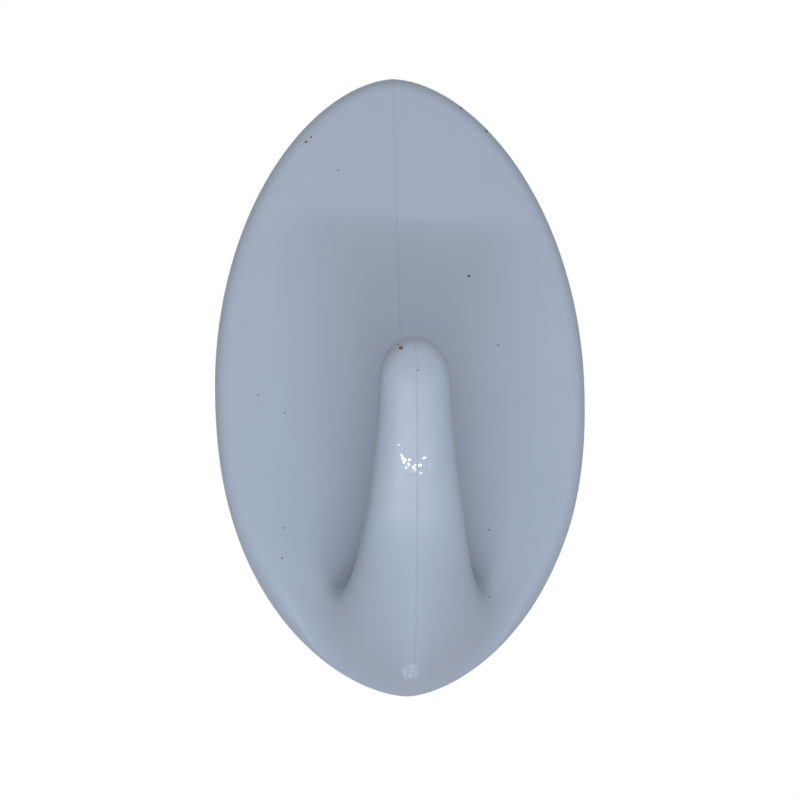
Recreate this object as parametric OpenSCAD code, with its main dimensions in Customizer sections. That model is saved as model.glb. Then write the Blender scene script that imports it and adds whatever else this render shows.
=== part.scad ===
// Adhesive wall hook: an oval plate with a leaning finger, moulded in one piece, and its tape.
// The wall side of the tape's liner is the plane y = 0, the front looks towards -y and z is up.

/* [Plate] */
// Height of the oval plate
plate_h = 50.4; // [40:0.2:70]
// Width of the oval plate
plate_w = 30.2; // [24:0.2:44]
// Thickness of the plate
plate_t = 2.7; // [2:0.1:4]
// Height of the plate's widest line over its lower end
widest_h = 24.7; // [20:0.1:30]
// Fullness of the oval's flanks above the widest line: 2 is an ellipse's
upper_full = 2; // [1.8:0.05:2.6]
// Fullness of the oval's flanks below the widest line: 2 is an ellipse's
lower_full = 2.3; // [1.8:0.05:2.6]
// Sharpness of the oval's upper end: 0.5 is an ellipse's
upper_sharp = 0.57; // [0.5:0.01:0.7]
// Sharpness of the oval's lower end: 0.5 is an ellipse's
lower_sharp = 0.6; // [0.5:0.01:0.7]
// Rounding of the plate's front edge
edge_round = 1.1; // [0.5:0.1:1.6]
// Rounding of the front edge beside the chin
lower_round = 1.6; // [1:0.1:1.9]
// Bevel of the plate's back edge
back_bevel = 0.3; // [0.1:0.05:0.5]

/* [Finger] */
// Length of the finger from its root section to its tip, along its axis
finger_len = 21.8; // [14:0.2:26]
// Mean lean of the finger's axis away from the plate, in degrees
finger_lean = 19.5; // [8:0.5:25]
// Curl of the finger's axis back towards the plate, from its root to its tip, in degrees
finger_curl = 18; // [6:1:28]
// Width of the finger at its root
finger_root_w = 10.2; // [7:0.1:12]
// Width of the finger where the tip's rounding starts
finger_tip_w = 5.5; // [4:0.1:7]
// Thickness of the finger at its root
finger_root_t = 5; // [4:0.1:7]
// Thickness of the finger where the tip's rounding starts
finger_tip_t = 4.2; // [3:0.1:5]
// Power of the finger's taper: 1 is straight, more is hollower
taper_power = 1.45; // [1:0.05:2]
// Length of the tip's rounding
tip_round = 3.4; // [2:0.1:6]
// Power of the tip's rounding through its thickness: 1 is a circle's, less is squarer
tip_square = 0.7; // [0.3:0.05:1]
// Power of the finger's section: 2 is an ellipse, more is squarer
section_power = 3; // [2:0.1:3.6]

/* [Throat and chin] */
// Gap between the plate's face and the finger's root
throat_gap = 4.7; // [3.5:0.1:7]
// Height of the throat's floor over the plate's lower end
throat_floor = 7.4; // [6:0.1:10]
// Run of the fillet beside the finger's root
root_fillet = 3.4; // [2:0.1:4.5]
// Rise of the finger's sides out of the fillet
root_rise = 3.4; // [1.5:0.1:5]
// How far the finger's sides turn towards its front out of the fillet: 0 is straight along it
root_spin = 0.8; // [0.4:0.05:0.9]
// Smoothing of the shoulders beside the finger's root
shoulder_smooth = 0.31; // [0.15:0.01:0.4]
// Height of the fillet's ends over the throat's floor
fillet_lift = 0.6; // [0:0.1:1.5]
// Fullness of the chin under the finger
chin_full = 6; // [3:0.1:7]
// Height on the plate's edge below which the edge runs straight into the chin
chin_low = 1; // [0.5:0.1:3]
// Height on the plate's edge above which the face runs flat to the edge's rounding
chin_high = 9; // [7:0.1:11]
// Height on the plate's edge over which its rounding grows towards the chin
grow_high = 15; // [10:0.5:20]
// Draft of the chin where it leaves the plate's edge, in degrees
chin_draft = 12; // [2:1:25]

/* [Tape] */
// Bare rim of the plate round the tape
tape_rim = 2.2; // [1.6:0.1:4]
// Thickness of the foam core
foam_t = 0.9; // [0.5:0.1:1.6]
// Thickness of each adhesive film
film_t = 0.1; // [0.05:0.01:0.2]
// Thickness of the release liner
liner_t = 0.12; // [0.08:0.01:0.2]
// Overhang of the liner round the tape
liner_over = 0.6; // [0.2:0.1:1]
// Length of the liner's lift tab
tab_len = 9; // [5:0.5:14]
// Reach of the lift tab past the liner's edge
tab_reach = 0.9; // [0.5:0.1:1]

/* [Smoothness] */
// Columns of facets round the moulding
columns = 72; // [48:8:96]
// Rings of facets across the plate's face
face_rings = 3; // [2:1:6]
// Rings of facets along the chin and the throat
bend_rings = 14; // [10:1:20]
// Rings of facets along the finger
finger_rings = 8; // [6:1:14]
// Rings of facets on each rounded edge
round_rings = 6; // [4:1:8]
// Points round an oval of tape
oval_points = 120; // [80:8:160]

/* [Hidden] */
// Depths of the layers behind the plate, from the wall plane
wall_film_y = -liner_t;
foam_y = wall_film_y - film_t;
front_film_y = foam_y - foam_t;
plate_back_y = front_film_y - film_t;
// The plate's lower end, and its widest line
low_end = -plate_h / 2;
widest_z = low_end + widest_h;
// How strongly the columns crowd towards the lower end and the finger's front
crowding = 1.55;
// Part of the fillet's run over which it keeps to the face
fillet_hold = 0.4;
// Power of the lift tab's outline: more is squarer
tab_power = 4;
// How late the columns near the chin take to the flat face
share_power = 4;
// Least run of a column between the edge's rounding and the bend
least_run = 0.15;
// Step along the finger over which its direction at the root is taken
small_step = 0.1;
// Turn round the finger's root section over which its direction is taken, in degrees
small_angle = 0.5;
// The throat, and the lean of the finger's axis at its root: the axis is an arc
throat_r = throat_gap / 2;
root_z = low_end + throat_floor + throat_r;
root_lean = finger_lean + finger_curl / 2;
// A cubic curve with handles of this many radii turns from the face to that lean, one radius deep
half_turn = 8 / 3 / (1 + cos(root_lean));
// The radius of that arc, the middle of the finger's back at the root and of its section there
axis_r = finger_len / (finger_curl * PI / 180);
root_back = [0, plate_back_y - plate_t - throat_gap, root_z];
root_centre = root_back + through(0) * finger_root_t / 2;
// The fillet's start on the face: its centre line, half width, and heights above and below
fillet_z = low_end + throat_floor + fillet_lift;
fillet_w = finger_root_w / 2 + root_fillet;
fillet_h = root_z - fillet_z;
fillet_low = fillet_z - low_end - chin_low;
// Angle of the shoulders on the finger's section, in degrees
shoulder_angle = 195;
// Angle over which the shoulders spread round it, in degrees
spread_angle = 80;
// Share of that spread at which the smoothing ends
reach_share = 1.5;
// Power with which the smoothing gathers to the shoulders
shoulder_power = 4;
// Share of the bend's rings, counted down from the root, at which the smoothing starts
from_share = 1.2;
// Share of the bend's rings over which the smoothing comes and goes
ramp_share = 0.25;
// The ring at the finger's root, the first ring smoothed, the rings to come and go, and the rounds
root_ring = 2 + round_rings + face_rings + bend_rings;
first_ring = root_ring - from_share * bend_rings;
ramp_rings = ramp_share * bend_rings;
smooth_rounds = round(shoulder_smooth * bend_rings * bend_rings);

function powered(v, p) = sign(v) * pow(abs(v), p);
function smooth(v) = let (t = min(max(v, 0), 1)) t * t * (3 - 2 * t);
function mix(a, b, t) = a * (1 - t) + b * t;
function unit(v) = v / norm(v);

// A point of the plate's oval, drawn in by an inset, at an angle from +x
function oval(a, inset) =
    let (upper = sin(a) > 0,
         height = (upper ? plate_h - widest_h : widest_h) - inset,
         full = upper ? upper_full : lower_full,
         sharp = upper ? upper_sharp : lower_sharp)
    [sign(cos(a)) * (plate_w / 2 - inset) * pow(1 - pow(abs(sin(a)), full), sharp),
     widest_z + height * sin(a)];

// An angle turned about the lower end: k above 1 spreads the angles near it, below 1 crowds them
function swing(a, k) = 270 + 2 * atan2(k * sin((a - 270) / 2), cos((a - 270) / 2));
function oval_angle(g) = swing(g, 1 / crowding);
function finger_angle(g) = swing(g, crowding);

// Height on the plate's edge where a column starts
function edge_height(g) = oval(oval_angle(g), 0)[1] - low_end;
// 1 where a column crosses the flat face, 0 where it runs straight up the chin
function face_share(g) = smooth((edge_height(g) - chin_low) / (chin_high - chin_low));
function edge_radius(g) =
    mix(lower_round, edge_round, smooth((edge_height(g) - chin_high) / (grow_high - chin_high)));

// A point of the moulding's plate at a depth in front of the plate's back
function plate_point(g, inset, depth) =
    let (p = oval(oval_angle(g), inset)) [p[0], plate_back_y - depth, p[1]];

// The front edge's rounding, at a part of its turn from the side (0) to the face (1)
function edge_point(g, part) =
    let (turn = part * edge_turn(g), r = edge_radius(g))
    plate_point(g, r * (1 - cos(turn)), plate_t - r * (1 - sin(turn)));
function edge_turn(g) = mix(chin_draft, 90, face_share(g));

// A column's way over the face, from the end of the edge's rounding to the fillet
function face_way(g) =
    let (b = finger_angle(g), e = edge_point(g, 1))
    [fillet_w * cos(b) - e[0], 0, fillet_z + (sin(b) > 0 ? fillet_h : fillet_low) * sin(b) - e[2]];

// The direction of that way: level over the face, and rising forwards up the chin
function bend_aim(g) =
    let (turn = edge_turn(g)) unit(face_way(g)) * sin(turn) + [0, -cos(turn), 0];

// Where a column leaves that way for the finger
function bend_start(g) =
    let (run = norm(face_way(g)) * pow(face_share(g), share_power) / sin(edge_turn(g)))
    edge_point(g, 1) + bend_aim(g) * max(run, least_run);

// Handles of the bend at its start and its end, for the throat, the sides and the chin
function handle(g, throat, side, chin) =
    let (c = cos(g - 270)) side * (1 - c * c) + (c < 0 ? throat : chin) * c * c;
function bend_point(g, t) =
    let (a = bend_start(g), d = finger_point(finger_angle(g), 0),
         b = a + bend_aim(g) * handle(g, half_turn * throat_r, fillet_hold * root_fillet, chin_full),
         c = d - root_aim(finger_angle(g)) * handle(g, half_turn * throat_r, root_rise, chin_full))
    a * pow(1 - t, 3) + 3 * b * t * pow(1 - t, 2) + 3 * c * t * t * (1 - t) + d * pow(t, 3);

// The finger's axis at a distance from its root, and the direction through its thickness there
function lean(run) = root_lean - finger_curl * run / finger_len;
function through(run) = [0, -cos(lean(run)), -sin(lean(run))];
function axis(run) =
    root_centre + axis_r * [0, cos(root_lean) - cos(lean(run)), sin(root_lean) - sin(lean(run))];

// A point of the finger at an angle on its section and a distance from its root, scaled about the axis
function finger_point(b, run, wide = 1, deep = 1) =
    let (t = pow(max(1 - run / (finger_len - tip_round), 0), taper_power),
         w = mix(finger_tip_w, finger_root_w, t) / 2 * wide,
         h = mix(finger_tip_t, finger_root_t, t) / 2 * deep)
    axis(run) + [w * powered(cos(b), 2 / section_power), 0, 0]
        - through(run) * h * powered(sin(b), 2 / section_power);
function tip_point(b, turn) =
    finger_point(b, finger_len - tip_round * (1 - sin(turn)), cos(turn), pow(cos(turn), tip_square));

// The direction in which a column meets the finger's root: along it, and round it at its sides
function root_aim(b) =
    let (rise = unit(finger_point(b, small_step) - finger_point(b, 0)),
         step = cos(b) < 0 ? small_angle : -small_angle,
         spin = unit(finger_point(b + step, 0) - finger_point(b - step, 0)))
    unit(mix(rise, spin, root_spin * cos(b) * cos(b)));

// The moulding's rings in order from the plate's back to the finger's tip
function ring(f) = [for (j = [0:columns - 1]) let (g = 360 * j / columns) f(g)];
drawn_rings = [
    ring(function (g) plate_point(g, back_bevel, 0)),
    ring(function (g) plate_point(g, 0, back_bevel)),
    for (k = [0:round_rings]) ring(function (g) edge_point(g, k / round_rings)),
    for (k = [1:face_rings]) ring(function (g) mix(edge_point(g, 1), bend_start(g), k / face_rings)),
    for (k = [1:bend_rings]) ring(function (g) bend_point(g, k / bend_rings)),
    for (k = [1:finger_rings])
        ring(function (g) finger_point(finger_angle(g), k / finger_rings * (finger_len - tip_round))),
    for (k = [1:round_rings - 1]) ring(function (g) tip_point(finger_angle(g), 90 * k / round_rings))
];
tip = axis(finger_len);

// How strongly a column and a ring are smoothed: most at the shoulders, not at all away from the root
function mirrored(b) = (540 - b) % 360;
function shoulder_share(g) =
    let (b = finger_angle(g) % 360, off = min(abs(b - shoulder_angle), abs(mirrored(b) - shoulder_angle)))
    pow(smooth(reach_share - off / spread_angle), shoulder_power);
function ring_share(k) =
    smooth((k - first_ring) / ramp_rings) * smooth((root_ring + ramp_rings - k) / ramp_rings);
column_shares = ring(function (g) shoulder_share(g));

// The rings with each point drawn towards the middle of its four neighbours, round after round
function relaxed(grid, rounds) =
    rounds == 0 ? grid : relaxed([
        for (k = [0:len(grid) - 1])
            let (share = ring_share(k))
            share == 0 ? grid[k] : [
                for (j = [0:columns - 1])
                    let (beside = grid[k][(j + 1) % columns] + grid[k][(j + columns - 1) % columns],
                         middle = (beside + grid[k - 1][j] + grid[k + 1][j]) / 4)
                    mix(grid[k][j], middle, share * column_shares[j])
            ]
    ], rounds - 1);
rings = relaxed(drawn_rings, smooth_rounds);

// A closed solid skinned over rings of equal count, flat at its first ring and pointed at its end
module skinned(rings, end) {
    n = len(rings[0]);
    last = (len(rings) - 1) * n;
    polyhedron(
        points = [for (r = rings) each r, end],
        faces = [
            [for (j = [0:n - 1]) j],
            for (r = [0:len(rings) - 2], j = [0:n - 1])
                let (a = r * n + j, b = r * n + (j + 1) % n)
                each [[a, a + n, b], [b, a + n, b + n]],
            for (j = [0:n - 1]) [last + j, last + n, last + (j + 1) % n]
        ]
    );
}

// A flat layer of tape whose wall side lies at a depth y, with an outline given by a function
module layer(y, t, outline) {
    translate([0, y, 0])
        rotate([90, 0, 0])
            linear_extrude(t)
                polygon([for (j = [0:oval_points - 1]) outline(360 * j / oval_points)]);
}

function tape_outline(a) = oval(a, tape_rim);
function liner_outline(a) =
    let (p = oval(a, tape_rim - liner_over),
         tab = p[0] > 0 ? tab_reach * exp(-pow(2 * p[1] / tab_len, tab_power)) : 0)
    p + [tab, 0];

module hook_moulding() {
    color([0.67, 0.72, 0.80]) skinned(rings, tip);
}

module front_adhesive() {
    color([0.85, 0.84, 0.76]) layer(front_film_y, film_t, function (a) tape_outline(a));
}

module foam_core() {
    color([0.93, 0.93, 0.91]) layer(foam_y, foam_t, function (a) tape_outline(a));
}

module wall_adhesive() {
    color([0.85, 0.84, 0.76]) layer(wall_film_y, film_t, function (a) tape_outline(a));
}

module release_liner() {
    color([0.96, 0.93, 0.82]) layer(0, liner_t, function (a) liner_outline(a));
}

hook_moulding();
front_adhesive();
foam_core();
wall_adhesive();
release_liner();
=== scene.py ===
# %% [markdown]
# # A stick-on wall hook
# The real thing is one injection moulding, an upright oval plate whose lower end sweeps forward into
# a leaning finger, with a pad of double-sided foam tape on its back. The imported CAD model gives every
# piece its place, and this lesson dresses it: a finer skin for the moulding, the marks that its mould
# left, a foam pad with a cut edge, and a finish for each surface. All lengths are millimetres until a
# mesh is made, and a mesh is in metres.

# %% Load the frame
import math

import bpy
import numpy as np
from mathutils import Matrix, Vector, noise
from mathutils.bvhtree import BVHTree


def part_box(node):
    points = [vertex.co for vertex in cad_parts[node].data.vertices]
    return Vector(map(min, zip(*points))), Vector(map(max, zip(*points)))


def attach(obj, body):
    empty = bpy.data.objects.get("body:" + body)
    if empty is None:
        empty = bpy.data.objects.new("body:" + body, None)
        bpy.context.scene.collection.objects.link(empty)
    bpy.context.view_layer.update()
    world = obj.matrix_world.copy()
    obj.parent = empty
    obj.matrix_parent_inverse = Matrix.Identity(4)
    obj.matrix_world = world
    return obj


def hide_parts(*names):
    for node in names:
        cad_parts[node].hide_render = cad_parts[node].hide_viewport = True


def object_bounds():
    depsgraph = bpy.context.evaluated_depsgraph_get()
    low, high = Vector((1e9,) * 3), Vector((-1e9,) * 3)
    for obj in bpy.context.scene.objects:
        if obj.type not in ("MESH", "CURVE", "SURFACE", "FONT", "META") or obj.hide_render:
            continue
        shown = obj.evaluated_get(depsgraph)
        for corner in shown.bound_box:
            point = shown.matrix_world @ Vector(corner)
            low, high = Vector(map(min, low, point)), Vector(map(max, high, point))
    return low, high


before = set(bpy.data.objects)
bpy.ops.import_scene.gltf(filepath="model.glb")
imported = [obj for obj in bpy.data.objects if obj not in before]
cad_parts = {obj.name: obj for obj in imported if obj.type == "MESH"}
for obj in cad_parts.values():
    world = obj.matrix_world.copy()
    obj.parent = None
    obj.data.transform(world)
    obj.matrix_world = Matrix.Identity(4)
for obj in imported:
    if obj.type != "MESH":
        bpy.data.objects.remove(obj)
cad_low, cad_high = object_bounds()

MM = 0.001
print("CAD box in mm:", [round(side / MM, 2) for side in cad_high - cad_low])

# %% [markdown]
# ## Camera
# The photograph has little perspective, so the camera gets a long lens and stands five times the hook's
# height away. The plate is almost square to it. The finger is nearer and looks moved to the right of the
# plate's middle, which says that the camera stands a little to the left. The whole hook leans a degree
# and a half to the left.

# %% Place the camera
PICTURE = 800
CAMERA_DISTANCE = 250
CAMERA_LEFT = math.radians(4.3)
CAMERA_LEAN = math.radians(1.55)
PIXEL = 0.0812  # the width of a pixel at the plate's face
PLATE_MIDDLE_PIXEL = (401.5, 388)
SENSOR = 36
NEAREST_SEEN = 10
PLATE_T = 2.7

plate_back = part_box("front_adhesive")[0].y / MM
face_y = plate_back - PLATE_T
forward = Vector((math.sin(CAMERA_LEFT), math.cos(CAMERA_LEFT), 0))
level = Vector((math.cos(CAMERA_LEFT), -math.sin(CAMERA_LEFT), 0))
upright = Vector((0, 0, 1))
right = level * math.cos(CAMERA_LEAN) - upright * math.sin(CAMERA_LEAN)
up = level * math.sin(CAMERA_LEAN) + upright * math.cos(CAMERA_LEAN)
middle = Vector((0, face_y, 0))
middle += right * (PICTURE / 2 - PLATE_MIDDLE_PIXEL[0]) * PIXEL
middle -= up * (PICTURE / 2 - PLATE_MIDDLE_PIXEL[1]) * PIXEL
eye = middle - forward * CAMERA_DISTANCE


def standing(place, across, upwards, backwards):
    """The matrix of an object at a place whose own three axes point these ways."""
    return Matrix.Translation(place * MM) @ Matrix((across, upwards, backwards)).transposed().to_4x4()


lens = bpy.data.cameras.new("camera")
lens.sensor_width = SENSOR
lens.lens = SENSOR * CAMERA_DISTANCE / (PICTURE * PIXEL)
lens.clip_start = NEAREST_SEEN * MM
camera = bpy.data.objects.new("camera", lens)
camera.matrix_world = standing(eye, right, up, -forward)
bpy.context.scene.collection.objects.link(camera)
bpy.context.scene.camera = camera
print("camera lens", round(lens.lens, 1), "mm, place", [round(v, 4) for v in camera.location])

# %% [markdown]
# ## Node helpers
# Shader trees and geometry trees are both graphs of nodes. One small function adds a node, sets its
# properties and fills its inputs. An input takes either a value or the output of another node. A second
# one adds a sum, and a third an empty group with named sockets, which both kinds of tree need. Colours
# are written as a screen shows them, and shaders count in linear light, so they are converted.

# %% Functions that add nodes and convert colours
SCREEN_FULL = 255
DARK_END = 0.04045  # below this share a screen's curve is a straight line
DARK_SLOPE = 12.92
CURVE_SHIFT = 0.055
CURVE_POWER = 2.4


def add(tree, kind, inputs=None, **settings):
    """Add a node to a tree, set its properties, and fill its inputs by socket name or number."""
    made = tree.nodes.new(kind)
    for name, value in settings.items():
        setattr(made, name, value)
    for key, value in (inputs or {}).items():
        if isinstance(value, bpy.types.NodeSocket):
            tree.links.new(value, made.inputs[key])
        else:
            made.inputs[key].default_value = value
    return made


def maths(tree, operation, *values):
    """Add a math node on up to three values, and return its result."""
    return add(tree, "ShaderNodeMath", dict(enumerate(values)), operation=operation).outputs[0]


def new_group(name, kind, inputs, outputs):
    """An empty node group with named sockets; returns the group and its two end nodes."""
    group = bpy.data.node_groups.new(name, kind)
    for way, sockets in (("INPUT", inputs), ("OUTPUT", outputs)):
        for socket, sort in sockets.items():
            group.interface.new_socket(socket, in_out=way, socket_type="NodeSocket" + sort)
    return group, add(group, "NodeGroupInput"), add(group, "NodeGroupOutput")


def linear(red, green, blue):
    """A colour written as it looks on a screen, from 0 to 255, as the linear values that shaders use."""
    shares = np.array([red, green, blue]) / SCREEN_FULL
    curved = ((shares + CURVE_SHIFT) / (1 + CURVE_SHIFT)) ** CURVE_POWER
    return (*np.where(shares > DARK_END, curved, shares / DARK_SLOPE).tolist(), 1)


print("white in linear light:", linear(SCREEN_FULL, SCREEN_FULL, SCREEN_FULL))

# %% [markdown]
# ## Fill light and background
# Soft light comes from everywhere, more of it from the sky and from the ground than from the level, and
# half as much from behind the hook. A world colour whose strength follows the direction gives that. To
# the camera, in reflections and through glass the world is plain white instead. Light Path tells these
# rays apart, so the white background adds no diffuse light to the hook.

# %% Light the world
AMBIENT = (0.252, 0.252, 0.229, 1)
SKY = 2.27  # how much the fill grows towards straight up
GROUND = 0.8  # and towards straight down
BEHIND = 0.5
BEHIND_FROM = 0.2  # how far back a direction points when the fill is down to that share
WHITE = (1, 1, 1, 1)
MIX_FACTOR, MIX_A, MIX_B = 0, 2, 3  # a Mix node lists the sockets of all its kinds by number


def seen_directly(tree):
    """1 for rays that show the background: from the camera, in a reflection or through glass."""
    path = add(tree, "ShaderNodeLightPath").outputs
    first = maths(tree, "MAXIMUM", path["Is Camera Ray"], path["Is Glossy Ray"])
    return maths(tree, "MAXIMUM", first, path["Is Transmission Ray"])


def light_the_world():
    """White to the camera, and a dim fill to all else, stronger up and down and weaker from behind."""
    world = bpy.data.worlds.new("studio")
    world.use_nodes = True
    tree = world.node_tree
    tree.nodes.clear()
    way = add(tree, "ShaderNodeTexCoord").outputs["Generated"]
    axes = add(tree, "ShaderNodeSeparateXYZ", {0: way}).outputs
    upwards = maths(tree, "GREATER_THAN", axes["Z"], 0.0)
    growth = add(tree, "ShaderNodeMix", {MIX_FACTOR: upwards, MIX_A: -GROUND, MIX_B: SKY}).outputs[0]
    sky = maths(tree, "MULTIPLY_ADD", axes["Z"], growth, 1.0)
    front = add(tree, "ShaderNodeMapRange", {"Value": axes["Y"], "From Min": 0.0, "From Max": BEHIND_FROM,
                                             "To Min": 1.0, "To Max": BEHIND}).outputs[0]
    strength = maths(tree, "MULTIPLY", sky, front)
    ambient = add(tree, "ShaderNodeBackground", {"Color": AMBIENT, "Strength": strength})
    white = add(tree, "ShaderNodeBackground", {"Color": WHITE})
    shown = add(tree, "ShaderNodeMixShader",
                {0: seen_directly(tree), 1: ambient.outputs[0], 2: white.outputs[0]})
    add(tree, "ShaderNodeOutputWorld", {"Surface": shown.outputs[0]})
    bpy.context.scene.world = world


bpy.context.scene.view_settings.view_transform = "Standard"
light_the_world()
print("world:", bpy.context.scene.world.name)

# %% [markdown]
# ## Floor
# The hook hangs as on a wall, and a pale floor lies well below it. Near the hook the floor is matt and
# takes what shadow reaches it, and farther off it runs out into the white background. The main lamp
# shines from below its level, so it stops no light, and it gives no diffuse light back to the hook.

# %% Lay the floor
FLOOR_BELOW = 60
FLOOR_RADIUS = 3000
FLOOR_FADE = (90, 190)
FLOOR_COLOUR = (0.95, 0.95, 0.95, 1)
FLATTEN = (1, 1, 0)


def floor_finish():
    """Matt near the middle, and white towards the outside wherever the background would show white."""
    material = bpy.data.materials.new("floor")
    material.use_nodes = True
    tree = material.node_tree
    tree.nodes.clear()
    place = add(tree, "ShaderNodeTexCoord").outputs["Object"]
    ground = add(tree, "ShaderNodeVectorMath", {0: place, 1: FLATTEN}, operation="MULTIPLY")
    reach = add(tree, "ShaderNodeVectorMath", {0: ground.outputs[0]}, operation="LENGTH")
    near, far = (distance * MM for distance in FLOOR_FADE)
    fade = add(tree, "ShaderNodeMapRange", {"Value": reach.outputs["Value"], "From Min": near,
                                            "From Max": far}, interpolation_type="SMOOTHSTEP")
    shown = maths(tree, "MULTIPLY", fade.outputs[0], seen_directly(tree))
    matt = add(tree, "ShaderNodeBsdfDiffuse", {"Color": FLOOR_COLOUR})
    white = add(tree, "ShaderNodeEmission", {"Color": WHITE})
    mixed = add(tree, "ShaderNodeMixShader", {0: shown, 1: matt.outputs[0], 2: white.outputs[0]})
    add(tree, "ShaderNodeOutputMaterial", {"Surface": mixed.outputs[0]})
    return material


def lay_floor():
    """A pale square under the hook that casts no shadow on it and throws no light back."""
    radius = FLOOR_RADIUS * MM
    mesh = bpy.data.meshes.new("floor")
    corners = [(-radius, -radius), (radius, -radius), (radius, radius), (-radius, radius)]
    height = (cad_low.z / MM - FLOOR_BELOW) * MM
    mesh.from_pydata([(x, y, height) for x, y in corners], [], [(0, 1, 2, 3)])
    floor = bpy.data.objects.new("floor", mesh)
    floor.visible_shadow = False
    floor.visible_diffuse = False
    bpy.context.scene.collection.objects.link(floor)
    mesh.materials.append(floor_finish())


lay_floor()
print("floor", FLOOR_BELOW, "mm under the hook")

# %% [markdown]
# ## Lamps
# A long, thin lamp below the camera throws the finger's shadow up the plate. The shadow has a sharp top
# edge because the lamp is thin, and fans out to both sides because the lamp is long. The highlight on
# the finger is shorter than the reflection of such a lamp would be. So two lamps share the place: the
# long one gives the diffuse light and stays out of reflections, and a shorter core is seen in
# reflections alone. A weak lamp fills the front, and a large one lights the back for views from there.

# %% Hang the lamps
LAMP_BELOW = math.radians(34)
LAMP_TILT = math.radians(8)
LAMP_DISTANCE = 1200
LAMP_LENGTH = 1200
LAMP_THICKNESS = 15
LAMP_POWER = 8.6
CORE_LENGTH = 600
CORE_POWER = 13
FILL_DISTANCE = 130
FILL_SIDE = 40
FILL_POWER = 0.009
BACK_DISTANCE = 400
BACK_SIDE = 300
BACK_POWER = 0.8
LAMP_COLOUR = (0.955, 0.995, 1.06)


def lamp(name, length, width, power, place, along):
    """A rectangular lamp that looks at the middle of the picture, its length along a direction."""
    light = bpy.data.lights.new(name, "AREA")
    light.shape = "RECTANGLE"
    light.size = length * MM
    light.size_y = width * MM
    light.energy = power
    light.color = LAMP_COLOUR
    away = (place - middle).normalized()
    across = (along - away * along.dot(away)).normalized()
    made = bpy.data.objects.new(name, light)
    made.matrix_world = standing(place, across, away.cross(across), away)
    made.visible_camera = False
    bpy.context.scene.collection.objects.link(made)
    return made


down = -forward * math.cos(LAMP_BELOW) - upright * math.sin(LAMP_BELOW)
tilted = level * math.cos(LAMP_TILT) - upright * math.sin(LAMP_TILT)
low_place = middle + down * LAMP_DISTANCE
front_place = middle - forward * FILL_DISTANCE
back_place = middle + forward * BACK_DISTANCE
core_lamp = lamp("lamp_core", CORE_LENGTH, LAMP_THICKNESS, CORE_POWER, low_place, tilted)
thin_lamp = lamp("thin_lamp", LAMP_LENGTH, LAMP_THICKNESS, LAMP_POWER, low_place, tilted)
front_fill = lamp("front_fill", FILL_SIDE, FILL_SIDE, FILL_POWER, front_place, level)
back_fill = lamp("back_fill", BACK_SIDE, BACK_SIDE, BACK_POWER, back_place, level)
core_lamp.visible_diffuse = False
for soft_lamp in (thin_lamp, front_fill, back_fill):
    soft_lamp.visible_glossy = False

# %% [markdown]
# ## Shared effects
# No real surface is one flat colour. Two effects return in every material here: a slow mottle of the
# colour, and a fine grain that changes the roughness and lifts the surface a little. Each is a shader
# node group, built once and placed in a material with its own values.

# %% Two shader groups
CLOUD_DETAIL = 3.0
CLOUD_ROUGHNESS = 0.6
GRAIN_DETAIL = 1.0
GRAIN_ROUGHNESS = 0.4
GLOSSY_BELOW = 0.35
ROUGH_ABOVE = 0.65
MIX_COLOUR_A, MIX_COLOUR_B, MIX_COLOUR = 6, 7, 2


def make_mottle():
    """Two colours mixed by a slow noise, as pigment and cooling leave them."""
    group, taken, given = new_group(
        "mottle", "ShaderNodeTree",
        {"Place": "Vector", "Size": "Float", "Light": "Color", "Dark": "Color"}, {"Colour": "Color"})
    scale = maths(group, "DIVIDE", 1.0, taken.outputs["Size"])
    cloud = add(group, "ShaderNodeTexNoise", {"Vector": taken.outputs["Place"], "Scale": scale,
                                              "Detail": CLOUD_DETAIL, "Roughness": CLOUD_ROUGHNESS})
    mixed = add(group, "ShaderNodeMix",
                {MIX_FACTOR: cloud.outputs["Fac"], MIX_COLOUR_A: taken.outputs["Dark"],
                 MIX_COLOUR_B: taken.outputs["Light"]}, data_type="RGBA")
    group.links.new(mixed.outputs[MIX_COLOUR], given.inputs["Colour"])
    return group


def make_grain():
    """A fine noise as a height for a bump and as a roughness between two values."""
    group, taken, given = new_group(
        "grain", "ShaderNodeTree",
        {"Place": "Vector", "Size": "Float", "Smooth": "Float", "Rough": "Float"},
        {"Height": "Float", "Roughness": "Float"})
    scale = maths(group, "DIVIDE", 1.0, taken.outputs["Size"])
    bumps = add(group, "ShaderNodeTexNoise", {"Vector": taken.outputs["Place"], "Scale": scale,
                                              "Detail": GRAIN_DETAIL, "Roughness": GRAIN_ROUGHNESS})
    spread = add(group, "ShaderNodeMapRange",
                 {"Value": bumps.outputs["Fac"], "From Min": GLOSSY_BELOW, "From Max": ROUGH_ABOVE,
                  "To Min": taken.outputs["Smooth"], "To Max": taken.outputs["Rough"]})
    group.links.new(bumps.outputs["Fac"], given.inputs["Height"])
    group.links.new(spread.outputs[0], given.inputs["Roughness"])
    return group


mottle = make_mottle()
grain = make_grain()
print("shader groups:", mottle.name, grain.name)

# %% [markdown]
# ## Finishes
# Every material here has the same base: the mottle feeds the colour, and the grain feeds roughness
# and normal. What makes the plastic, the foam, the film and the paper differ are the values: the sizes
# of mottle and grain, how deep the grain is, and how much the surface mirrors.

# %% A material from the two effects


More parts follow.
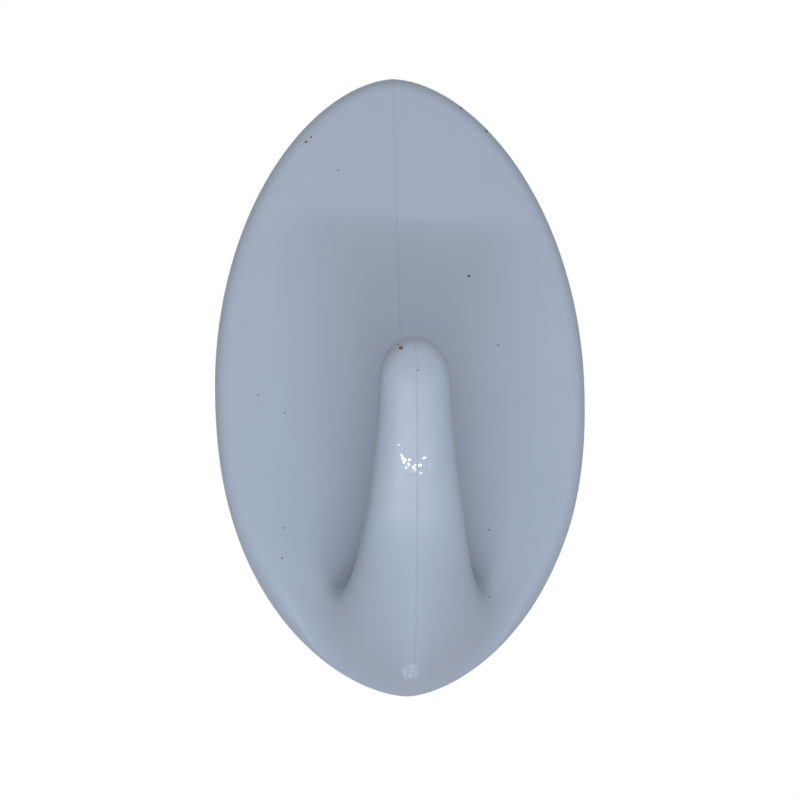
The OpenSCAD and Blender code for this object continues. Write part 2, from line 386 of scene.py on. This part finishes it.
def finish(name, light, dark, cloud, dots, depth, smooth, rough, mirror):
    """A material with mottled colour and grain. Cloud, dots and depth are millimetres."""
    material = bpy.data.materials.new(name)
    material.use_nodes = True
    tree = material.node_tree
    shader = tree.nodes["Principled BSDF"]
    shader.inputs["Specular IOR Level"].default_value = mirror
    place = add(tree, "ShaderNodeTexCoord").outputs["Object"]
    colour = add(tree, "ShaderNodeGroup", {"Place": place, "Size": cloud * MM, "Light": linear(*light),
                                           "Dark": linear(*dark)}, node_tree=mottle)
    surface = add(tree, "ShaderNodeGroup", {"Place": place, "Size": dots * MM, "Smooth": smooth,
                                            "Rough": rough}, node_tree=grain)
    bump = add(tree, "ShaderNodeBump", {"Height": surface.outputs["Height"], "Distance": depth * MM})
    tree.links.new(colour.outputs["Colour"], shader.inputs["Base Color"])
    tree.links.new(surface.outputs["Roughness"], shader.inputs["Roughness"])
    tree.links.new(bump.outputs["Normal"], shader.inputs["Normal"])
    return material


print("finish ready, on", mottle.name, "and", grain.name)

# %% The finishes of the plastic, the dirt and the tape
SKIN = {"cloud": 6, "dots": 0.3, "depth": 0.0008, "mirror": 0.2}
DIRT = {"cloud": 0.1, "dots": 0.1, "depth": 0.005, "smooth": 0.6, "rough": 0.8, "mirror": 0.2}

plastic = finish("white_plastic", (171, 182, 202), (166, 177, 197), smooth=0.39, rough=0.45, **SKIN)
torn_plastic = finish("torn_plastic", (190, 199, 219), (168, 179, 200), cloud=0.3, dots=0.12, depth=0.02,
                      smooth=0.35, rough=0.5, mirror=0.3)
# The parting line's finish is the plastic painted a little darker: painted shade for the ridge's faint
# dark line.
shaded_line_finish = finish("parting_line", (166, 177, 196), (162, 173, 192), smooth=0.4, rough=0.5, **SKIN)
brown_dirt = finish("brown_dirt", (150, 104, 74), (120, 84, 60), **DIRT)
dark_dirt = finish("dark_dirt", (92, 96, 102), (60, 62, 66), **DIRT)
grey_dirt = finish("grey_dirt", (142, 150, 162), (120, 128, 140), **DIRT)
foam_finish = finish("white_foam", (243, 243, 240), (226, 226, 221), cloud=0.6, dots=0.12, depth=0.03,
                     smooth=0.75, rough=0.95, mirror=0.15)
film_finish = finish("adhesive_film", (226, 222, 200), (214, 208, 182), cloud=2, dots=0.2, depth=0.004,
                     smooth=0.25, rough=0.45, mirror=0.5)
paper_finish = finish("liner_paper", (238, 228, 204), (228, 215, 186), cloud=1.5, dots=0.08, depth=0.006,
                      smooth=0.38, rough=0.55, mirror=0.4)
print("materials:", len(bpy.data.materials))

# %% [markdown]
# ## The sparkle
# In the photograph the lamp's reflection on the finger is a short, curved row of sparkling dots. Fine
# waves in the moulded skin would break it up so, but they are too fine to model. A patch of glossy dots
# stands in for them, placed where the reflection falls: that the skin is glossier just there is
# a guess. The mask comes from Object coordinates, so the patch stays on the finger from every side: a
# parabola across the finger with soft edges, times the cells of a Voronoi texture.

# %% Lay the glossy dots on the finger's front
SPARKLE_MIDDLE = (0.0, -6.15)  # across and height of the parabola's lowest point
SPARKLE_CURVE = 0.74
SPARKLE_THICKNESS = (0.8, 0.5)  # from the parabola to the soft edge's outside and inside
SPARKLE_ACROSS = -0.65  # where the row has its middle
SPARKLE_HALF = (2.1, 1.7)  # from there to the soft end's outside and inside
SPARKLE_DEPTH = -14  # only what lies in front of this
DOT_SPACING = 0.35
DOT_EDGE = (0.42, 0.3)  # a dot's soft edge, outside and inside, in spacings
DOT_GLOSS = 0.12


def sparkle_patch(material):
    """Lay glossy dots over the satin skin, in a curved band on the finger."""
    tree = material.node_tree
    shader = tree.nodes["Principled BSDF"]
    satin = shader.inputs["Roughness"].links[0].from_socket

    def soft_edge(value, outer, inner):
        return add(tree, "ShaderNodeMapRange", {"Value": value, "From Min": outer, "From Max": inner},
                   interpolation_type="SMOOTHSTEP").outputs[0]

    place = add(tree, "ShaderNodeTexCoord").outputs["Object"]
    axes = add(tree, "ShaderNodeSeparateXYZ", {0: place}).outputs
    aside = maths(tree, "SUBTRACT", axes["X"], SPARKLE_MIDDLE[0] * MM)
    rise = maths(tree, "MULTIPLY", maths(tree, "MULTIPLY", aside, aside), SPARKLE_CURVE / MM)
    height = maths(tree, "SUBTRACT", axes["Z"], SPARKLE_MIDDLE[1] * MM)
    above = maths(tree, "SUBTRACT", height, rise)
    band = soft_edge(maths(tree, "ABSOLUTE", above), *[v * MM for v in SPARKLE_THICKNESS])
    off = maths(tree, "ABSOLUTE", maths(tree, "SUBTRACT", axes["X"], SPARKLE_ACROSS * MM))
    reach = soft_edge(off, *[v * MM for v in SPARKLE_HALF])
    front = maths(tree, "LESS_THAN", axes["Y"], SPARKLE_DEPTH * MM)
    cells = add(tree, "ShaderNodeTexVoronoi", {"Vector": place, "Scale": 1 / (DOT_SPACING * MM)})
    dots = soft_edge(cells.outputs["Distance"], *DOT_EDGE)
    curved = maths(tree, "MULTIPLY", maths(tree, "MULTIPLY", band, reach), front)
    dotted = maths(tree, "MULTIPLY", curved, dots)
    mixed = add(tree, "ShaderNodeMix", {MIX_FACTOR: dotted, MIX_A: satin, MIX_B: DOT_GLOSS})
    tree.links.new(mixed.outputs[0], shader.inputs["Roughness"])


sparkle_patch(plastic)
print("glossy dots on", plastic.name)

# %% [markdown]
# ## The moulding
# The hook has one smooth skin with no corners between plate, chin and finger. Such a shape is easiest
# as a stack of rings: each ring has the same number of points, from the plate's back over its edge and
# its face, along the bend and up the finger to the tip. Every column of points is one line of flow. A
# column at the top crosses the flat face, turns round the throat and climbs the finger's back. A column
# at the bottom runs straight up the chin into the finger's front. The sizes are those of the CAD model,
# and only the rings are finer.

# %% Small tools for points


def smooth(value):
    """0 below 0, 1 above 1, and an even S between."""
    share = np.clip(value, 0, 1)
    return share * share * (3 - 2 * share)


def mix(a, b, share):
    """From a at share 0 to b at share 1."""
    return a * (1 - share) + b * share


def powered(value, power):
    """A power that keeps the sign."""
    return np.sign(value) * np.abs(value) ** power


def unit(vectors):
    """Each vector at length 1."""
    return vectors / np.linalg.norm(vectors, axis=-1, keepdims=True)


def points(x, y, z):
    """Three lists of coordinates, or single values, as one array of points."""
    return np.stack(np.broadcast_arrays(x, y, z), axis=-1).astype(float)


print("halfway up the S:", smooth(0.5))

# %% The plate's outline and the columns on it
PLATE_H = 50.4
PLATE_W = 30.2
WIDEST_H = 24.7
UPPER_FULL = 2
LOWER_FULL = 2.3
UPPER_SHARP = 0.57
LOWER_SHARP = 0.6
COLUMNS = 208
TOP_COLUMN = COLUMNS // 4
BOTTOM_COLUMN = COLUMNS * 3 // 4
CROWDING = 1.55  # columns crowd at the plate's lower end and spread out on the finger's front
LOWER_END = 1.5 * math.pi

low_end = -PLATE_H / 2


def swing(angle, spread):
    """Turn angles away from the lower end (spread above 1) or towards it (below 1)."""
    half = (angle - LOWER_END) / 2
    return LOWER_END + 2 * np.arctan2(spread * np.sin(half), np.cos(half))


def oval(angle, inset):
    """Across and height of the plate's outline, drawn in by an inset."""
    rise = np.sin(angle)
    upper = rise > 0
    height = np.where(upper, PLATE_H - WIDEST_H, WIDEST_H) - inset
    full = np.where(upper, UPPER_FULL, LOWER_FULL)
    sharp = np.where(upper, UPPER_SHARP, LOWER_SHARP)
    spread = np.maximum(1 - np.abs(rise) ** full, 0) ** sharp
    return np.sign(np.cos(angle)) * (PLATE_W / 2 - inset) * spread, low_end + WIDEST_H + height * rise


column = np.arange(COLUMNS) * 2 * math.pi / COLUMNS
on_oval = swing(column, 1 / CROWDING)
on_finger = swing(column, CROWDING)
print("oval is", round(float(oval(np.array([0.0]), 0)[0][0]) * 2, 2), "mm wide")

# %% The finger as a formula
FINGER_LEN = 21.8
FINGER_LEAN = math.radians(19.5)
FINGER_CURL = math.radians(18)
FINGER_ROOT_W = 10.2
FINGER_TIP_W = 5.5
FINGER_ROOT_T = 5
FINGER_TIP_T = 4.2
TAPER_POWER = 1.45
TIP_ROUND = 3.4
TIP_SQUARE = 0.7
SECTION_POWER = 3
THROAT_GAP = 4.7
THROAT_FLOOR = 7.4

root_z = low_end + THROAT_FLOOR + THROAT_GAP / 2
root_lean = FINGER_LEAN + FINGER_CURL / 2
root_back = np.array([0, plate_back - PLATE_T - THROAT_GAP, root_z])
root_centre = root_back + np.array([0, -math.cos(root_lean), -math.sin(root_lean)]) * FINGER_ROOT_T / 2
straight_len = FINGER_LEN - TIP_ROUND


def finger_axis(run):
    """A point of the finger's arched middle line, by its way from the root, and the way to its front."""
    bend = FINGER_CURL / FINGER_LEN
    lean = root_lean - bend * run
    moved = [0, math.cos(root_lean) - math.cos(lean), math.sin(root_lean) - math.sin(lean)]
    return root_centre + np.array(moved) / bend, np.array([0, -math.cos(lean), -math.sin(lean)])


def finger(angle, run, wide=1, deep=1):
    """Points of the finger's section at a distance from its root, scaled in width and thickness."""
    share = max(1 - run / straight_len, 0) ** TAPER_POWER
    width = mix(FINGER_TIP_W, FINGER_ROOT_W, share) / 2 * wide
    depth = mix(FINGER_TIP_T, FINGER_ROOT_T, share) / 2 * deep
    across = points(width * powered(np.cos(angle), 2 / SECTION_POWER), 0, 0)
    axis, through = finger_axis(run)
    return axis + across - np.outer(powered(np.sin(angle), 2 / SECTION_POWER), through * depth)


def tip_ring(turn):
    """A ring on the finger's rounded end, by the angle that its rounding has turned."""
    run = FINGER_LEN - TIP_ROUND * (1 - math.sin(turn))
    return finger(on_finger, run, math.cos(turn), math.cos(turn) ** TIP_SQUARE)


print("finger root in mm:", root_centre.round(2).tolist())

# %% The plate's back and edge
EDGE_ROUND = 1.1
LOWER_ROUND = 1.6
BACK_BEVEL = 0.3
CHIN_LOW = 1  # up to this height over the lower end the edge runs straight on into the chin
CHIN_HIGH = 9  # and from this height up it turns all the way into the flat face
GROW_HIGH = 15  # between these two heights the rounding changes
CHIN_DRAFT = math.radians(12)

edge_height = oval(on_oval, 0)[1] - low_end
face_share = smooth((edge_height - CHIN_LOW) / (CHIN_HIGH - CHIN_LOW))
edge_turn = mix(CHIN_DRAFT, math.pi / 2, face_share)
upper_share = smooth((edge_height - CHIN_HIGH) / (GROW_HIGH - CHIN_HIGH))
edge_radius = mix(LOWER_ROUND, EDGE_ROUND, upper_share)


def plate_ring(inset, depth):
    """A ring with the plate's outline drawn in by an inset, at a depth from the plate's back."""
    across, height = oval(on_oval, inset)
    return points(across, plate_back - depth, height)


def edge_ring(part):
    """A ring on the rounded edge, from its start at part 0 to its end at part 1."""
    turn = part * edge_turn
    return plate_ring(edge_radius * (1 - np.cos(turn)), PLATE_T - edge_radius * (1 - np.sin(turn)))


edge_end = edge_ring(1)
print("edge rounding in mm:", edge_radius.min().round(2), "to", edge_radius.max().round(2))

# %% The bend from the plate to the finger
ROOT_FILLET = 3.4
ROOT_RISE = 3.4
ROOT_SPIN = 0.8
FILLET_LIFT = 0.6
FILLET_HOLD = 0.4
CHIN_FULL = 6
SHARE_POWER = 4
LEAST_RUN = 0.15
SMALL_STEP = 0.1
SMALL_TURN = 0.01
HANDLES_PER_DEPTH = 8 / 3  # a cubic's middle lies 3/8 of its two handles' depth below its ends

fillet_z = low_end + THROAT_FLOOR + FILLET_LIFT


def leave_face():
    """Where each column leaves the face, and the direction in which it leaves."""
    above = np.sin(on_finger) > 0
    fillet_h = np.where(above, root_z - fillet_z, fillet_z - low_end - CHIN_LOW)
    fillet_w = FINGER_ROOT_W / 2 + ROOT_FILLET
    fillet = points(fillet_w * np.cos(on_finger), 0, fillet_z + fillet_h * np.sin(on_finger))
    way = (fillet - edge_end) * np.array([1, 0, 1])
    ahead = unit(way) * np.sin(edge_turn)[:, None] + points(0, -np.cos(edge_turn), 0)
    run = np.linalg.norm(way, axis=1) * face_share ** SHARE_POWER / np.sin(edge_turn)
    return edge_end + ahead * np.maximum(run, LEAST_RUN)[:, None], ahead


def reach_finger():
    """Where each column meets the finger's root, and the direction in which it arrives."""
    place = finger(on_finger, 0)
    rise = unit(finger(on_finger, SMALL_STEP) - place)
    round_left = np.where(np.cos(on_finger) < 0, 1, -1) * SMALL_TURN
    spin = unit(finger(on_finger + round_left, 0) - finger(on_finger - round_left, 0))
    share = (ROOT_SPIN * np.cos(on_finger) ** 2)[:, None]
    return place, unit(mix(rise, spin, share))


face_end, leaving = leave_face()
root, settling = reach_finger()
towards = np.cos(column - LOWER_END)
middle_share = towards ** 2
throat_handle = HANDLES_PER_DEPTH / (1 + math.cos(root_lean)) * THROAT_GAP / 2
main_handle = np.where(towards < 0, throat_handle, CHIN_FULL)
leave = face_end + leaving * mix(FILLET_HOLD * ROOT_FILLET, main_handle, middle_share)[:, None]
arrive = root - settling * mix(ROOT_RISE, main_handle, middle_share)[:, None]


def bend_ring(t):
    """A ring on the bend, where every column follows a cubic curve."""
    early = face_end * (1 - t) ** 3 + 3 * leave * t * (1 - t) ** 2
    return early + 3 * arrive * t ** 2 * (1 - t) + root * t ** 3


print("handle of the throat in mm:", round(throat_handle, 2))

# %% Stack the rings
BACK_RINGS = 2
EDGE_RINGS = 10
FACE_RINGS = 8
BEND_RINGS = 40
FINGER_RINGS = 24
TIP_RINGS = 14

stack = [plate_ring(BACK_BEVEL, 0), plate_ring(0, BACK_BEVEL)]
stack += [edge_ring(part) for part in np.linspace(0, 1, EDGE_RINGS + 1)]
stack += [mix(edge_end, face_end, part) for part in np.linspace(0, 1, FACE_RINGS + 1)[1:]]
stack += [bend_ring(part) for part in np.linspace(0, 1, BEND_RINGS + 1)[1:]]
stack += [finger(on_finger, run) for run in np.linspace(0, straight_len, FINGER_RINGS + 1)[1:]]
stack += [tip_ring(turn) for turn in np.linspace(0, math.pi / 2, TIP_RINGS + 1)[1:-1]]
tip = finger_axis(FINGER_LEN)[0]
print("rings:", len(stack), "columns:", COLUMNS)

# %% Draw the shoulders smooth
SHOULDER_AT = 195
SHOULDER_SPREAD = 80
SHOULDER_REACH = 1.5
SHOULDER_FOCUS = 4
SHOULDER_UP = 10
SHOULDER_FROM = 1.2
SHOULDER_ROUNDS = 500
HALF_TURN = 180
FULL_TURN = 360
NEIGHBOURS = 4


def relaxed(grid):
    """The grid with the shoulders beside the finger's root drawn smooth, as a stretched skin lies."""
    degrees = np.degrees(on_finger) % FULL_TURN
    mirrored = (FULL_TURN + HALF_TURN - degrees) % FULL_TURN
    off = np.minimum(np.abs(degrees - SHOULDER_AT), np.abs(mirrored - SHOULDER_AT))
    across = smooth(SHOULDER_REACH - off / SHOULDER_SPREAD) ** SHOULDER_FOCUS
    ring = np.arange(len(grid))
    root_ring = BACK_RINGS + EDGE_RINGS + FACE_RINGS + BEND_RINGS
    first = root_ring - BEND_RINGS * SHOULDER_FROM
    last = root_ring + SHOULDER_UP
    along = smooth((ring - first) / SHOULDER_UP) * smooth((last - ring) / SHOULDER_UP)
    weight = (along[:, None] * across)[..., None]
    for _ in range(SHOULDER_ROUNDS):
        beside = np.roll(grid, 1, 0) + np.roll(grid, -1, 0)
        between = (beside + np.roll(grid, 1, 1) + np.roll(grid, -1, 1)) / NEIGHBOURS
        grid = mix(grid, between, weight)
    return grid


rings = relaxed(np.array(stack))
print("shoulders moved by up to", np.abs(rings - stack).max().round(2), "mm")

# %% Skin the rings
SHARP_ANGLE = 40


def solid(name, vertices, faces, material, sharp_angle=SHARP_ANGLE):
    """A mesh object at the origin from points in millimetres, shaded smooth but for its sharp edges."""
    mesh = bpy.data.meshes.new(name)
    mesh.from_pydata((np.asarray(vertices, float) * MM).tolist(), [], faces)
    mesh.validate()
    mesh.shade_smooth()
    mesh.set_sharp_from_angle(angle=math.radians(sharp_angle))
    mesh.materials.append(material)
    made = bpy.data.objects.new(name, mesh)
    bpy.context.scene.collection.objects.link(made)
    return made


def ring_faces(count, columns):
    """Quads between neighbouring rings, wound so that they look outwards."""
    return [(r * columns + c, r * columns + (c + 1) % columns, (r + 1) * columns + (c + 1) % columns,
             (r + 1) * columns + c) for r in range(count - 1) for c in range(columns)]


def closed_faces(count, columns):
    """Those quads, a flat face on the first ring, and a fan from the last ring to one more point."""
    last = (count - 1) * columns
    faces = ring_faces(count, columns)
    faces.append(tuple(reversed(range(columns))))
    faces += [(last + c, last + (c + 1) % columns, count * columns) for c in range(columns)]
    return faces


skin = np.vstack([rings.reshape(-1, 3), tip])
moulding = solid("moulding", skin, closed_faces(len(rings), COLUMNS), plastic)
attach(moulding, "hook")
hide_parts("hook_moulding")
print("moulding faces:", len(moulding.data.polygons))

# %% [markdown]
# ## The parting line
# Where the two halves of the mould meet, a hair of plastic is pressed into the gap. On this hook the
# line runs in the plane of symmetry: over the plate, round the throat, over the fingertip and down the
# chin. It is a path along the moulding's own middle columns, so Geometry Nodes can sweep a tiny round
# profile along it. The path is sunk so that only about a hundredth of a millimetre stands out.

# %% Functions that grow a mesh with Geometry Nodes


def geometry_tree(name, inputs):
    """An empty geometry tree with the given named inputs; returns the tree and its two end nodes."""
    shape = {"Geometry": "Geometry"}
    return new_group(name, "GeometryNodeTree", {**shape, **inputs}, shape)


def end_tree(tree, shape, finish_socket, given):
    """Realize what the tree made, give it its finish and hand it out."""
    real = add(tree, "GeometryNodeRealizeInstances", {"Geometry": shape})
    rounded = add(tree, "GeometryNodeSetShadeSmooth", {0: real.outputs[0]})
    dressed = add(tree, "GeometryNodeSetMaterial",
                  {"Geometry": rounded.outputs[0], "Material": finish_socket})
    tree.links.new(dressed.outputs[0], given.inputs[0])


def grown(name, mesh, tree, values):
    """An object whose mesh is what the tree makes of a starting mesh."""
    made = bpy.data.objects.new(name, mesh)
    bpy.context.scene.collection.objects.link(made)
    modifier = made.modifiers.new("grow", "NODES")
    modifier.node_group = tree
    for item in tree.interface.items_tree:
        if item.name in values:
            modifier[item.identifier] = values[item.name]
    made.update_tag()
    settled = made.evaluated_get(bpy.context.evaluated_depsgraph_get())
    fresh = bpy.data.meshes.new_from_object(settled)
    made.modifiers.remove(modifier)
    made.data = fresh
    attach(made, "hook")
    return made


print("geometry helpers ready")

# %% Sweep the parting line
LINE_RADIUS = 0.25
LINE_PROUD = 0.012
LINE_SIDES = 48
LINE_END = -22.3  # the height on the chin at which the line stops, at the gate mark


def make_line_tree():
    """A round profile swept along the edges of a mesh."""
    tree, taken, given = geometry_tree("parting_line", {"Radius": "Float", "Sides": "Int",
                                                        "Finish": "Material"})
    path = add(tree, "GeometryNodeMeshToCurve", {"Mesh": taken.outputs["Geometry"]})
    profile = add(tree, "GeometryNodeCurvePrimitiveCircle", {"Resolution": taken.outputs["Sides"],
                                                             "Radius": taken.outputs["Radius"]})
    swept = add(tree, "GeometryNodeCurveToMesh",
                {"Curve": path.outputs[0], "Profile Curve": profile.outputs[0], "Fill Caps": True})
    end_tree(tree, swept.outputs[0], taken.outputs["Finish"], given)
    return tree


def middle_path():
    """The moulding's middle columns from the plate's top over the fingertip to the gate, as a mesh."""
    count = len(rings)
    normals = np.array([v.normal for v in moulding.data.vertices])
    top = np.arange(1, count) * COLUMNS + TOP_COLUMN
    bottom = np.arange(count - 1, 0, -1) * COLUMNS + BOTTOM_COLUMN
    order = np.concatenate([top, [count * COLUMNS], bottom])
    order = order[skin[order, 2] > LINE_END]
    sunk = (skin[order] - normals[order] * (LINE_RADIUS - LINE_PROUD)) * MM
    mesh = bpy.data.meshes.new("middle_path")
    mesh.from_pydata(sunk.tolist(), [(i, i + 1) for i in range(len(sunk) - 1)], [])
    return mesh


# Its finish is a shade darker than the plastic: painted shade along the ridge.
parting_line = grown("parting_line", middle_path(), make_line_tree(),
                     {"Radius": LINE_RADIUS * MM, "Sides": LINE_SIDES, "Finish": shaded_line_finish})
print("parting line faces:", len(parting_line.data.polygons))

# %% [markdown]
# ## The gate mark
# Under the chin the runner was torn off and left a low, ragged nub with a faint ring round it. It is
# placed by a straight sight line: from the camera through a point of the picture until it meets the
# moulding. A ready-made bump would not follow the chin's curve, so the nub is made of rings of points,
# each dropped onto the skin and then lifted by a height that noise makes ragged.

# %% Find places on the skin
GATE_PIXEL = (410, 672.5)

skin_tree = BVHTree.FromPolygons([tuple(v.co / MM) for v in moulding.data.vertices],
                                 [tuple(face.vertices) for face in moulding.data.polygons])


def on_skin(across, down):
    """The point and normal of the moulding that the camera sees at a place in the picture."""
    aim = right * (across - PICTURE / 2) * PIXEL - up * (down - PICTURE / 2) * PIXEL
    place, normal, _, _ = skin_tree.ray_cast(eye, (forward * CAMERA_DISTANCE + aim).normalized())
    return place, normal


print("under the chin:", [round(v, 2) for v in on_skin(*GATE_PIXEL)[0]])

# %% Make the gate mark
GATE_HALF = (0.85, 1.4)
GATE_TURN = math.radians(-15)
GATE_HEIGHT = 0.32
GATE_SLOPE = 0.3
GATE_RINGS = 28
GATE_COLUMNS = 72
GATE_REACH = 1.7
EDGE_RAGGED = 0.3
EDGE_WAVES = 2.2
TOP_RAGGED = 0.5
TEAR_SIZE = 0.3
TEAR_FALL, TEAR_STEP, TEAR_LAYERS = 1, 2, 3  # how the noise adds finer layers
RING_AT = 1.36
RING_WIDTH = 0.09
RING_HEIGHT = 0.03
RING_RAGGED = 0.4
SUNK = 0.02
NEVER_SHARP = 180


def gate_height(part, ragged):
    """Height over the skin at a part of the nub's half width: a torn top, a bare skin, a faint ring."""
    nub = smooth((1 - part) / GATE_SLOPE) * (1 - TOP_RAGGED + TOP_RAGGED * ragged) * GATE_HEIGHT
    ring = RING_HEIGHT * math.exp(-((part - RING_AT) / RING_WIDTH) ** 2)
    return nub + ring * (1 - RING_RAGGED + RING_RAGGED * ragged) - SUNK


def make_gate():
    """The torn nub: rings of points round its middle, each dropped onto the skin and lifted."""
    place, normal = on_skin(*GATE_PIXEL)
    level_side = (right - normal * right.dot(normal)).normalized()
    side = Matrix.Rotation(GATE_TURN, 3, normal) @ level_side
    rise = normal.cross(side)
    vertices = []
    for part in np.linspace(GATE_REACH, 0, GATE_RINGS + 1):
        for turn in np.arange(GATE_COLUMNS if part else 1) * 2 * math.pi / GATE_COLUMNS:
            round_the_edge = Vector((math.cos(turn), math.sin(turn), 0))
            edge = 1 + EDGE_RAGGED * noise.noise(round_the_edge * EDGE_WAVES)
            flat = side * math.cos(turn) * GATE_HALF[0] + rise * math.sin(turn) * GATE_HALF[1]
            above = place + flat * part * edge + normal
            foot = skin_tree.ray_cast(above, -normal)[0]
            ragged = noise.fractal(foot / TEAR_SIZE, TEAR_FALL, TEAR_STEP, TEAR_LAYERS)
            vertices.append(foot + normal * gate_height(part, ragged))
    return solid("gate_mark", vertices, closed_faces(GATE_RINGS, GATE_COLUMNS), torn_plastic, NEVER_SHARP)


gate = make_gate()
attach(gate, "hook")
print("gate mark faces:", len(gate.data.polygons))

# %% [markdown]
# ## Specks of dirt
# Here and there a speck of dirt sits on the skin. A texture could paint them, but real ones stand up a
# little and catch the light. Each is a small uneven crumb. Geometry Nodes put one on every marked point,
# flattened, laid along the skin and turned by a random angle from a fixed seed.

# %% The tree that lays a crumb on each point
CRUMB_LEVEL = 3
LUMP_SCALE = 0.9
LUMP_DEPTH = 0.9
NOISE_MIDDLE = (0.5, 0.5, 0.5)
RANDOM_LOW, RANDOM_HIGH, RANDOM_RESULT = 2, 3, 1  # the float sockets of a Random Value node


def make_speck_tree():
    """A flattened, unevenly turned crumb at each point, lying on the skin."""
    tree, taken, given = geometry_tree("specks", {"Seed": "Int", "Flat": "Float", "Finish": "Material"})
    crumb = add(tree, "GeometryNodeMeshIcoSphere", {"Radius": MM, "Subdivisions": CRUMB_LEVEL})
    place = add(tree, "GeometryNodeInputPosition")
    lump = add(tree, "ShaderNodeTexNoise", {"Vector": place.outputs[0], "Scale": LUMP_SCALE / MM})
    off = add(tree, "ShaderNodeVectorMath", {0: lump.outputs["Color"], 1: NOISE_MIDDLE},
              operation="SUBTRACT")
    far = add(tree, "ShaderNodeVectorMath", {0: off.outputs[0], "Scale": LUMP_DEPTH * MM},
              operation="SCALE")
    uneven = add(tree, "GeometryNodeSetPosition",
                 {"Geometry": crumb.outputs[0], "Offset": far.outputs[0]})
    size = add(tree, "GeometryNodeInputNamedAttribute", {"Name": "size"}, data_type="FLOAT").outputs[0]
    facing = add(tree, "GeometryNodeInputNamedAttribute", {"Name": "facing"}, data_type="FLOAT_VECTOR")
    lying = add(tree, "FunctionNodeAlignRotationToVector", {"Vector": facing.outputs[0]}, axis="Z")
    spun = add(tree, "FunctionNodeRandomValue",
               {"Seed": taken.outputs["Seed"], RANDOM_LOW: 0.0, RANDOM_HIGH: 2 * math.pi},
               data_type="FLOAT")
    twist = add(tree, "ShaderNodeCombineXYZ", {"Z": spun.outputs[RANDOM_RESULT]})
    turned = add(tree, "FunctionNodeRotateRotation",
                 {"Rotation": lying.outputs[0], "Rotate By": twist.outputs[0]}, rotation_space="LOCAL")
    low = maths(tree, "MULTIPLY", size, taken.outputs["Flat"])
    scale = add(tree, "ShaderNodeCombineXYZ", {"X": size, "Y": size, "Z": low})
    strewn = add(tree, "GeometryNodeInstanceOnPoints",
                 {"Points": taken.outputs["Geometry"], "Instance": uneven.outputs[0],
                  "Rotation": turned.outputs[0], "Scale": scale.outputs[0]})
    end_tree(tree, strewn.outputs[0], taken.outputs["Finish"], given)
    return tree


speck_tree = make_speck_tree()
print("speck tree nodes:", len(speck_tree.nodes))

# %% Scatter the specks
# Each speck is a pixel across, a pixel down and a radius.
SPECKS = {
    "brown_specks": (brown_dirt, [(401, 348, 0.17), (398, 345, 0.09), (306, 142, 0.11), (311, 137, 0.08),
                                  (489, 530, 0.07), (418, 370, 0.06)]),
    "dark_specks": (dark_dirt, [(469, 276, 0.11), (489, 597, 0.08), (461, 108, 0.12),
                                (486.5, 131, 0.12)]),
    "grey_specks": (grey_dirt, [(258, 395, 0.09), (285, 413, 0.08), (283, 528, 0.08), (282, 558, 0.09),
                                (498, 345, 0.08), (338, 170, 0.08)]),
    "pale_specks": (torn_plastic, [(392, 122, 0.12)]),
}
SPECK_SEED = 5
SPECK_FLAT = 0.35


def speck_points(name, marks):
    """A mesh with one point on the skin for each mark, and its size and facing as attributes."""
    found = [on_skin(across, down) for across, down, _ in marks]
    mesh = bpy.data.meshes.new(name)
    mesh.from_pydata([place * MM for place, _ in found], [], [])
    radii = [radius for _, _, radius in marks]
    mesh.attributes.new("size", "FLOAT", "POINT").data.foreach_set("value", radii)
    normals = [value for _, normal in found for value in normal]
    mesh.attributes.new("facing", "FLOAT_VECTOR", "POINT").data.foreach_set("vector", normals)
    return mesh


for name, (material, marks) in SPECKS.items():
    strewn = grown(name, speck_points(name, marks), speck_tree,
                   {"Seed": SPECK_SEED, "Flat": SPECK_FLAT, "Finish": material})
    print(name, "faces:", len(strewn.data.polygons))

# %% [markdown]
# ## The tape's flat layers
# The pad behind the plate is a sandwich: a film of adhesive, a closed-cell foam, a second film and a
# paper liner. The films and the liner are flat and thin, so there is nothing to add to their shapes:
# the CAD solids stay and get a finish.

# %% Finish the flat layers
for layer, material in (("front_adhesive", film_finish), ("wall_adhesive", film_finish),
                        ("release_liner", paper_finish)):
    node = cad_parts[layer]
    node.data.materials.clear()
    node.data.materials.append(material)
    print("finished", layer)

# %% [markdown]
# ## The foam pad
# The foam shows its cut edge, which is never straight: it is drawn in a little at mid-thickness and its
# cells are cut open. A bump would leave the edge's outline smooth, so the pits are in the mesh: rings of
# points with the plate's outline, drawn in and pitted by noise. The faces against the films stay flat.

# %% Make the foam pad
TAPE_RIM = 2.2
FOAM_COLUMNS = 720
FOAM_RINGS = 9
FOAM_WAIST = 0.06
FOAM_SHARP = 60
CELL_SIZE = 0.16
CELL_DEPTH = 0.05


def make_foam():
    """A pad with a waisted, cell-pitted edge and flat faces against the two films."""
    low, high = (corner.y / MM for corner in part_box("foam_core"))
    angle = np.arange(FOAM_COLUMNS) * 2 * math.pi / FOAM_COLUMNS
    vertices = []
    for part in np.linspace(0, 1, FOAM_RINGS):
        waist = FOAM_WAIST * math.sin(part * math.pi)
        across, height = oval(angle, TAPE_RIM + waist)
        ring = points(across, mix(high, low, part), height)
        inward = unit(points(-across, 0, -height))
        pits = [CELL_DEPTH * max(noise.noise(Vector(p) / CELL_SIZE), 0) for p in ring]
        vertices.append(ring + inward * np.array(pits)[:, None])
    count = FOAM_RINGS * FOAM_COLUMNS
    faces = ring_faces(FOAM_RINGS, FOAM_COLUMNS)
    faces += [tuple(reversed(range(FOAM_COLUMNS))), tuple(range(count - FOAM_COLUMNS, count))]
    return solid("foam_pad", np.vstack(vertices), faces, foam_finish, FOAM_SHARP)


foam = make_foam()
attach(foam, "hook")
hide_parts("foam_core")
print("foam pad faces:", len(foam.data.polygons))
